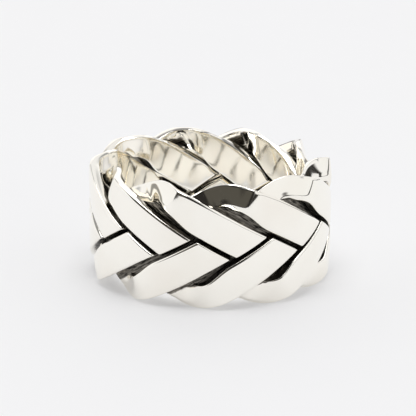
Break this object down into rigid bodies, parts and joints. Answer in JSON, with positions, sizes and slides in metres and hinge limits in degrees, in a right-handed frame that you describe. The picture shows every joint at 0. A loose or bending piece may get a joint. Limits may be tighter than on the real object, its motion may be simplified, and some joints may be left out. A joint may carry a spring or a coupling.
{
  "type": "braided band ring",
  "caption": "Wide finger ring plaited from flat polished metal strands, over two and under two, with scalloped rims and darkened recesses.",
  "frame": {"origin": "centre of the finger hole, at the height of the lowest scallops that the ring rests on", "axes": "+Z along the finger hole, upward; -Y towards the viewer of the picture; +X to the viewer's right"},
  "size_m": [0.0218, 0.0218, 0.0109],
  "materials": {
    "silver": "polished, with oxidised recesses"
  },
  "bodies": {
    "root": {"strand_1": "silver", "strand_2": "silver", "strand_3": "silver", "strand_4": "silver", "strand_5": "silver"}
  },
  "joints": []
}
